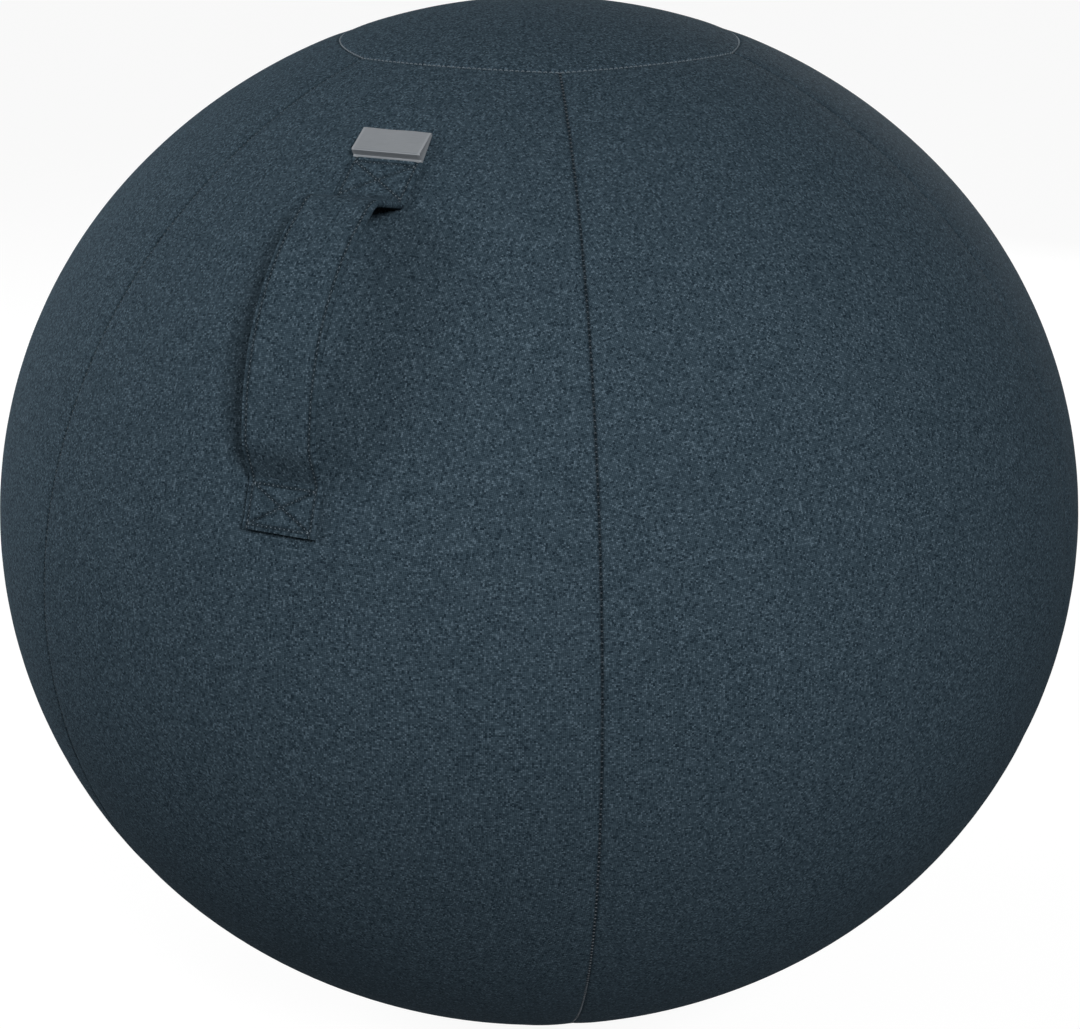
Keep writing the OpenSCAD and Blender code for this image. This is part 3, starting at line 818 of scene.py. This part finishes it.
def copies(name, points, faces, places):
    """Joins copies of one small form: each place is a point, the form's own way on and its way out."""
    all_points, all_faces = [], []
    for at, along, out in places:
        side = out.cross(along).normalized()
        turn = Matrix((along.normalized(), side, along.normalized().cross(side))).transposed()
        all_faces += [tuple(k + len(all_points) for k in face) for face in faces]
        all_points += [at + turn @ p for p in points]
    mesh = bpy.data.meshes.new(name)
    mesh.from_pydata(all_points, [], all_faces)
    mesh.update()
    piece = bpy.data.objects.new(name, mesh)
    bpy.context.collection.objects.link(piece)
    bpy.context.view_layer.objects.active = piece
    piece.select_set(True)
    bpy.ops.object.shade_smooth_by_angle(angle=radians(50))
    piece.select_set(False)
    return piece


def sew(name, places, thread):
    """Lays a stitch at each place."""
    piece = copies(name, stitch_points, stitch_faces, places)
    dress(piece, thread)
    return piece


def arc_spots(centre, radius, first, last):
    """Spots a stitch apart down one arc of the ball's outline, between two angles above level."""
    count = ceil((first - last) * radius / STITCH_PITCH)
    angles = [first - k * STITCH_PITCH / radius for k in range(count)]
    return [Vector(centre) + Vector((cos(angle), sin(angle))) * radius for angle in angles]


# Along each gore seam the thread crosses the groove like the rungs of a ladder
outline = arc_spots((0, middle.z - arc_shift), cap_r, pi / 2 - asin(PATCH_CORNER / cap_r), pi / 4)
outline += arc_spots((arc_shift, middle.z), side_r, pi / 4, -pi / 4)
outline += arc_spots((0, middle.z + arc_shift), cap_r, -pi / 4, -LEAVE)
seam_rungs = []
for index in range(GORES):
    angle = FIRST_SEAM + index * gore_angle
    for spot in outline:
        at = Vector((cos(angle) * spot.x, sin(angle) * spot.x, spot.y))
        out = outward(at)
        seam_rungs.append((at - out * RUNG_DEPTH, seam_side(angle), out))
seam_thread = sew("cover_seam_thread", seam_rungs, seam_shade_thread)
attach(seam_thread, "cover")

# Round the top patch the stitches lie in line, on the cloth just inside its edge
patch_stitches = []
half_turn = gore_angle / 2
stitches = round(2 * half_turn * PATCH_CORNER / STITCH_PITCH)
for side in range(GORES):
    for k in range(stitches):
        off = half_turn * (2 * (k + 0.5) / stitches - 1)
        angle = FIRST_SEAM + (side + 0.5) * gore_angle + off
        reach = patch_edge(off) - PATCH_STITCH_IN
        at = Vector((reach * cos(angle), reach * sin(angle), cap_height(reach)))
        on = seam_side(angle + off * PATCH_STITCH_TURN)
        patch_stitches.append((at - outward(at) * PATCH_STITCH_DEPTH, on, outward(at)))
patch_thread = sew("top_patch_thread", patch_stitches, light_thread)
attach(patch_thread, "cover")


def strap_spot(p):
    """The place and the way out of the strap's face at a point of its map."""
    k = min(range(len(strap_along)), key=lambda k: abs(strap_along[k] - p.y))
    k = min(max(k, 1), len(strap_path) - 2)
    way = (to_3d @ (strap_path[k + 1] - strap_path[k - 1])).normalized()
    out = way.cross(Vector((1, 0, 0))).normalized()
    return to_3d @ strap_path[k] + way * (p.y - strap_along[k]) + Vector((p.x, 0, 0)), way, out


strap_stitches = []
for line in edge_lines + sewn_lines:
    count = round((line[1] - line[0]).length / STRAP_PITCH)
    for k in range(count):
        p = line[0].lerp(line[1], (k + 0.5) / count)
        at, way, out = strap_spot(p)
        toward = strap_spot(line[0].lerp(line[1], (k + 0.9) / count))[0] - at
        strap_stitches.append((at + out * strap_top(p), toward, out))
strap_thread = sew("handle_thread", strap_stitches, light_thread)
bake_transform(strap_thread)


# The base
# A round of dark, heavier cloth, flat under the ball, turned up round the weight ring and hemmed over the
# zip's lower tape. Between the two ends of the zip it is sewn straight to the gores.
SKIRT_L = 59.1 * MM
BASE_T = 1.6 * MM
DOT_H = 1.2 * MM
DOT_D = 8 * MM
DOT_PITCH = 19 * MM
DOT_ROUND = 0.5 * MM
DOT_LET_IN = 0.3 * MM
EDGE_BEND_R = 4 * MM
BASE_STEP = 3 * MM
BASE_COLUMNS = 120
CANVAS_THREAD = 1.3 * MM
ROUGH_DRIFT = 0.08

channel_low, channel_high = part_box("ring_channel")
channel_r = (channel_high.z - channel_low.z) / 2
ring_at = Vector((channel_high.x - channel_r, (channel_low.z + channel_high.z) / 2))
base_mid = DOT_H + BASE_T / 2
bend_r = ring_at.y - base_mid


def on_skirt(down, out):
    """A point beside the skirt, as its distance from the axis and its height."""
    return skirt_top.xz + down_skirt.xz * down + Vector((cos(LEAVE), -sin(LEAVE))) * out


def turned(flat, angle):
    """A point, given by its distance from the axis and its height, at an angle round the axis."""
    return Vector((flat.x * cos(angle), flat.x * sin(angle), flat.y))


def revolve(name, path, columns, first=0.0, sweep=2 * pi):
    """Draws a path beside the axis and spins it anticlockwise, from one angle on."""
    start_point(name, turned(path[0], first))
    for a, b in zip(path, path[1:]):
        step = turned(b, first) - turned(a, first)
        bpy.ops.mesh.extrude_region_move(TRANSFORM_OT_translate={"value": step})
    spin_all(columns, sweep)
    finish_mesh()
    return bpy.context.object


def flat_place(p):
    """A point's distance from the axis and its height."""
    return Vector((hypot(p.x, p.y), p.z))


base_edge = on_skirt(SKIRT_L, -BASE_T / 2)
from_ring = base_edge - ring_at
wall_turn = atan2(from_ring.y, from_ring.x) - acos(bend_r / from_ring.length) + pi / 2
flat_end = Vector((ring_at.x + bend_r * tan(wall_turn / 2), base_mid))
window_edge = on_skirt(ZIP_DOWN + HEM_GAP, -BASE_T / 2)
base_corners = [Vector((0, base_mid)), flat_end, base_edge, window_edge]
base_path = even_path(rounded(base_corners, [0, bend_r, EDGE_BEND_R, 0]), BASE_STEP)
base_path += even_path([window_edge, on_skirt(ZIP_DOWN, -BASE_T / 2)], BASE_STEP)[1:]
base_cloth = revolve("base_cloth", base_path, BASE_COLUMNS)
bpy.ops.object.mode_set(mode="EDIT")
for zip_end in (ZIP_START, ZIP_END):
    toward = turned(Vector((1, 0)), zip_end)
    pick(lambda p: hypot(p.x, p.y) > window_edge.x and p.dot(toward) > 0, "FACE")
    bpy.ops.mesh.bisect(plane_co=(0, 0, 0), plane_no=seam_side(zip_end), threshold=1e-7)
pick(lambda p: hypot(p.x, p.y) > window_edge.x and by_zip(p), "FACE")
bpy.ops.mesh.delete(type="FACE")
finish_mesh()
apply_modifier("SOLIDIFY", thickness=BASE_T, offset=0, use_even_offset=True)
base_along = lengths(base_path)
base_places, base_hems = [], []
for vertex in base_cloth.data.vertices:
    along = base_along[nearest(base_path, flat_place(vertex.co))]
    base_places.append(turned(Vector((along, 0)), azimuth(vertex.co)).xy)
    base_hems.append(from_hem(vertex.co) if vertex.co.z > base_edge.y else half_w)
lay_threads(base_cloth, base_places)
# Painted shade darkens the base along the stitches of its hem and its seam to the gores
mark_stitch_shade(base_cloth, base_hems)

# The base's cloth is a coarser plain weave, nearly black, as it lies on the floor
# Its darkest and lightest colours are painted shade in the weave's hollows and painted light on its crests
canvas = cloth("base_canvas", "#131a1f", "#29343c", "#42505a", CANVAS_THREAD)
dress(base_cloth, canvas)
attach(base_cloth, "cover")
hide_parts("base_panel")

# The grip dots: printed rounds of soft vinyl, one in the middle and circles of them about it
bpy.ops.object.select_all(action="DESELECT")
dot_depth = DOT_H + DOT_LET_IN
bpy.ops.mesh.primitive_cylinder_add(vertices=16, radius=DOT_D / 2, depth=dot_depth)
dot = bpy.context.object
bpy.ops.object.mode_set(mode="EDIT")
pick(lambda p: p.z > dot_depth / 3, "FACE")
bpy.ops.mesh.bevel(offset=DOT_ROUND, segments=2)
finish_mesh()
dot_points = [vertex.co - Vector((0, 0, dot_depth / 2)) for vertex in dot.data.vertices]
dot_faces = [tuple(face.vertices) for face in dot.data.polygons]
bpy.data.objects.remove(dot)
circles = floor((ring_at.x - DOT_D / 2) / DOT_PITCH)
dot_centres = [Vector((0, 0))] + [Vector((k * DOT_PITCH, pi * j / (3 * k)))
                                  for k in range(1, circles + 1) for j in range(6 * k)]
dot_places = [(turned(Vector((reach, 0)), angle), Vector((1, 0, 0)), Vector((0, 0, -1)))
              for reach, angle in dot_centres]
grip_dots = copies("grip_dots", dot_points, dot_faces, dot_places)


def moulded(name, dark, light, patch, grain, rough, rise, **finish):
    """A moulded or cast surface: its tone drifts over patches, and a fine grain breaks its shine."""
    material, tree, shader = new_material(name, **finish)
    place = add(tree, "TexCoord", output=3)
    drift = add(tree, "TexNoise", {0: place, 2: 1 / patch, 3: 2.0})
    fine = add(tree, "TexNoise", {0: place, 2: 1 / grain, 3: 2.0})
    from_mean = add(tree, "Math", (fine, 0.5), operation="SUBTRACT")
    ramp = add(tree, "ValToRGB", (add(tree, "Math", (from_mean, 0.5, drift), operation="MULTIPLY_ADD"),))
    ramp.node.color_ramp.elements[0].position = 0.25
    ramp.node.color_ramp.elements[0].color = linear(dark)
    ramp.node.color_ramp.elements[1].position = 0.75
    ramp.node.color_ramp.elements[1].color = linear(light)
    tree.links.new(ramp, shader.inputs["Base Color"])
    worn = add(tree, "MapRange", {0: fine, 3: rough - ROUGH_DRIFT, 4: rough + ROUGH_DRIFT})
    tree.links.new(worn, shader.inputs["Roughness"])
    bump = add(tree, "Bump", {"Height": fine, "Strength": 0.4, "Distance": rise})
    tree.links.new(bump, shader.inputs["Normal"])
    return material


# Soft vinyl, printed thick: matt, with a fine grain
grip_vinyl = moulded("printed_grip_vinyl", "#1f2427", "#2c3236",
                     patch=12 * MM, grain=0.6 * MM, rough=0.55, rise=0.08 * MM)
dress(grip_dots, grip_vinyl)
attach(grip_dots, "cover")


# The weight ring and its sleeve
# A ring of matt rubber gives the ball its weight at the foot. A sleeve of thin cloth holds it on the base,
# and is gathered a little along its inner side, where its circle is shorter.
SLEEVE_T = 1 * MM
SLEEVE_SIDES = 36
SLEEVE_COLUMNS = 180
GATHER = 0.5 * MM
GATHER_L = 5 * MM
GATHER_SLICE = 9.2

sleeve_round = [ring_at + Vector((cos(a), sin(a))) * channel_r
                for a in (2 * pi * k / SLEEVE_SIDES for k in range(SLEEVE_SIDES + 1))]
sleeve = revolve("ring_sleeve", sleeve_round, SLEEVE_COLUMNS)
sleeve_along = lengths(sleeve_round)
for vertex in sleeve.data.vertices:
    spoke = (flat_place(vertex.co) - ring_at) / channel_r
    ripple = 0.5 + noise.noise(Vector((azimuth(vertex.co) * ring_at.x / GATHER_L, spoke.y, GATHER_SLICE)))
    vertex.co += turned(Vector((-1, 0)), azimuth(vertex.co)) * (GATHER * ripple * max(0, -spoke.x) ** 2)
apply_modifier("SOLIDIFY", thickness=SLEEVE_T, offset=-1, use_even_offset=True)
lay_threads(sleeve, [
    (sleeve_along[nearest(sleeve_round, flat_place(vertex.co))], azimuth(vertex.co) * ring_at.x)
    for vertex in sleeve.data.vertices])
dress(sleeve, canvas)
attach(sleeve, "cover")
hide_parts("ring_channel")


def coat(material, *names):
    """Gives CAD nodes that keep their own shape a finished material."""
    for name in names:
        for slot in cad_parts[name].material_slots:
            slot.material = material


# Cast rubber, which scatters the light and shows hardly any shine
rubber = moulded("matt_rubber", "#2f3234", "#3f4346",
                 patch=15 * MM, grain=0.8 * MM, rough=0.8, rise=0.1 * MM)
coat(rubber, "weight_ring")


# The zip's tapes
# Two tapes of woven polyester are sewn under the hems of the gores and of the base, three quarters of the
# way round, and face each other across the zip's middle line.
TAPE_W = 11 * MM
TAPE_T = 0.8 * MM
TAPE_FACE = -1.65 * MM
TAPE_THREAD = 0.5 * MM
TAPE_ROWS = 8
TAPE_COLUMNS = 216
COIL_SLOT = 1.4 * MM

# Zip tape is a tight, fine weave, nearly black, so it reads as one dark band
# Its darkest and lightest colours are painted shade in the weave's hollows and painted light on its crests
tape_cloth = cloth("woven_zip_tape", "#0d1114", "#20272c", "#333d45", TAPE_THREAD)
for name, side, rest in (("upper", -1, "gore_1"), ("lower", 1, "base_cloth")):
    path = [on_skirt(ZIP_DOWN + side * (COIL_SLOT / 2 + TAPE_W * k / TAPE_ROWS), TAPE_FACE - TAPE_T / 2)
            for k in range(TAPE_ROWS + 1)]
    tape = revolve(f"woven_tape_{name}", path, TAPE_COLUMNS, ZIP_START, ZIP_END - ZIP_START)
    apply_modifier("SOLIDIFY", thickness=TAPE_T, offset=0, use_even_offset=True)
    along = lengths(path)
    lay_threads(tape, [(along[nearest(path, flat_place(vertex.co))], azimuth(vertex.co) * path[0].x)
                       for vertex in tape.data.vertices])
    dress(tape, tape_cloth)
    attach(tape, "cover")
    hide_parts(f"zip_tape_{name}")


# The hems' topstitching
# One row of stitches holds each hem to its tape along the zip, and between the zip's ends the thread crosses
# from the gores to the base like the rungs of a ladder.
HEM_STITCH_DEPTH = 0.05 * MM

hem_stitches = []
zip_radius = on_skirt(ZIP_DOWN, 0).x
for side in (-1, 1):
    down = ZIP_DOWN + side * (HEM_GAP + HEM_STITCH_IN)
    count = round((ZIP_END - ZIP_START) * on_skirt(down, 0).x / STITCH_PITCH)
    for k in range(count):
        angle = ZIP_START + (ZIP_END - ZIP_START) * (k + 0.5) / count
        hem_stitches.append((turned(on_skirt(down, -HEM_STITCH_DEPTH), angle), seam_side(angle),
                             turned(Vector((cos(LEAVE), -sin(LEAVE))), angle)))
sewn_sweep = 2 * pi - (ZIP_END - ZIP_START)
count = round(sewn_sweep * zip_radius / STITCH_PITCH)
for k in range(count):
    angle = ZIP_END + sewn_sweep * (k + 0.5) / count
    hem_stitches.append((turned(on_skirt(ZIP_DOWN, -RUNG_DEPTH), angle), turned(down_skirt.xz, angle),
                         turned(Vector((cos(LEAVE), -sin(LEAVE))), angle)))
hem_thread = sew("hem_thread", hem_stitches, light_thread)
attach(hem_thread, "cover")


# The zip's coils
# Each side of the zip is one nylon wire wound into flat loops, which lie on the edge of its tape. The loops
# of one side face the gaps of the other.
COIL_HEAD = 0.45 * MM
COIL_BACK = 3.1 * MM
COIL_MIDDLE = -0.4 * MM
COIL_H = 2.4 * MM
WIRE_R = 0.32 * MM
COIL_PITCH = 1.6 * MM
COIL_STEPS = 8
STOP_L = 4 * MM

# Drawn nylon wire: smooth, with a soft shine along each loop
nylon = moulded("nylon_wire", "#171c20", "#262d32",
                patch=6 * MM, grain=0.4 * MM, rough=0.38, rise=0.03 * MM, Specular_IOR_Level=0.5)
stop_turn = STOP_L / zip_radius
turns = floor((ZIP_END - ZIP_START - 2 * stop_turn) * zip_radius / COIL_PITCH - 1)
for name, side in (("upper", -1), ("lower", 1)):
    half_across = (COIL_BACK - COIL_HEAD) / 2 - WIRE_R
    middle_at = (COIL_BACK + COIL_HEAD) / 2
    start = ZIP_START + stop_turn + (0.25 if side < 0 else 0.75) * COIL_PITCH / zip_radius
    wire = []
    for step in range(turns * COIL_STEPS + 1):
        phase = 2 * pi * step / COIL_STEPS
        spot = on_skirt(ZIP_DOWN + side * (middle_at + half_across * cos(phase)),
                        COIL_MIDDLE + (COIL_H / 2 - WIRE_R) * sin(phase))
        wire.append(turned(spot, start + COIL_PITCH * step / COIL_STEPS / zip_radius))
    curve = bpy.data.curves.new(f"nylon_coil_{name}", "CURVE")
    curve.dimensions = "3D"
    curve.bevel_depth = WIRE_R
    curve.bevel_resolution = 1
    curve.use_fill_caps = True
    spline = curve.splines.new("POLY")
    spline.points.add(len(wire) - 1)
    spline.points.foreach_set("co", [value for p in wire for value in (p.x, p.y, p.z, 1)])
    coil = bpy.data.objects.new(curve.name, curve)
    bpy.context.collection.objects.link(coil)
    bpy.ops.object.select_all(action="DESELECT")
    coil.select_set(True)
    bpy.context.view_layer.objects.active = coil
    bpy.ops.object.convert(target="MESH")
    bpy.ops.object.shade_smooth()
    dress(coil, nylon)
    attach(coil, "cover")
    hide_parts(f"zip_coil_{name}")


# The zip's metal parts
# Stops, slider and pull are die-cast and nickel-plated, with a satin finish that handling leaves uneven.
nickel = moulded("satin_nickel", "#8b8f93", "#a9acaf",
                 patch=4 * MM, grain=0.15 * MM, rough=0.32, rise=0.02 * MM, Metallic=1.0)
coat(nickel, "zip_stops", "zip_slider", "zip_pull")


# The inner ball, its valve and plug
# The ball is thick, soft vinyl with a satin skin, and the valve's seat is welded into its foot. The plug is
# hard white plastic, pushed into the seat.

# Moulded vinyl has a soft, even shine and lets a little light in. The plug is smoother and brighter.
vinyl = moulded("soft_vinyl", "#858a90", "#979ca1",
                patch=90 * MM, grain=1.2 * MM, rough=0.45, rise=0.1 * MM, Subsurface_Weight=0.05)
coat(vinyl, "inner_ball", "valve_seat")
plastic = moulded("white_plastic", "#d8dad9", "#e6e7e6",
                  patch=20 * MM, grain=0.5 * MM, rough=0.35, rise=0.03 * MM)
coat(plastic, "valve_plug")


# Light and floor
# A plain pale floor under four soft lamps: one at the camera's right and a weaker one well round to its
# left light the front, and two behind light the sides and the back. PLAIN is the power, from a metre away,
# at which a surface that faces the lamp shows in its own colour.
PLAIN = pi ** 2
LAMP_AWAY = 2.0
WORLD_LIGHT = 0.1
FLOOR_SIZE = 40
FLOOR_TONE = 0.2
FLOOR_TONE_SEEN = 0.12
FLOOR_GLOW = 0.93

# Each lamp: its angle round from the camera, its angle up from level, its width and its share of PLAIN
LAMPS = {
    "right": (15, 30, 0.4, 0.6),
    "left": (-75, 30, 0.7, 0.3),
    "left_rear": (-120, 15, 0.8, 0.4),
    "rear": (150, 15, 0.8, 0.4)}

for name, (around, up, width, share) in LAMPS.items():
    heading = CAMERA_AZIMUTH + radians(around)
    toward = Vector((cos(heading) * cos(radians(up)), sin(heading) * cos(radians(up)), sin(radians(up))))
    bpy.ops.object.light_add(type="AREA", location=middle + toward * LAMP_AWAY)
    light = bpy.context.object
    light.name = name
    light.data.size = width
    light.data.energy = share * PLAIN * LAMP_AWAY ** 2
    light.rotation_mode = "QUATERNION"
    light.rotation_quaternion = toward.to_track_quat("Z", "Y")


def seen_rays(tree):
    """One for the rays that show the background: from the camera, from gloss and through glass."""
    camera_ray, glossy_ray, through_ray = add(tree, "LightPath", output=(0, 3, 6))
    either = add(tree, "Math", (camera_ray, glossy_ray), operation="MAXIMUM")
    return add(tree, "Math", (either, through_ray), operation="MAXIMUM")


world = bpy.data.worlds.new("studio")
bpy.context.scene.world = world
world.use_nodes = True
tree = world.node_tree
background = tree.nodes["Background"]
background.inputs["Color"].default_value = (1, 1, 1, 1)
strength = add(tree, "MapRange", {0: seen_rays(tree), 3: WORLD_LIGHT, 4: 1.0})
tree.links.new(strength, background.inputs["Strength"])

# The floor shows white and keeps the ball's shadow, and throws little light back up
bpy.ops.mesh.primitive_plane_add(size=FLOOR_SIZE)
floor_sheet = bpy.context.object
floor_sheet.name = "floor"
material, tree, shader = new_material("pale_paint", Roughness=0.9, Specular_IOR_Level=0.0)
seen = seen_rays(tree)
tone = add(tree, "MapRange", {0: seen, 3: FLOOR_TONE, 4: FLOOR_TONE_SEEN})
tree.links.new(add(tree, "CombineColor", (tone, tone, tone)), shader.inputs["Base Color"])
shader.inputs["Emission Color"].default_value = (1, 1, 1, 1)
glow = add(tree, "Math", (seen, FLOOR_GLOW), operation="MULTIPLY")
tree.links.new(glow, shader.inputs["Emission Strength"])
floor_sheet.data.materials.append(material)
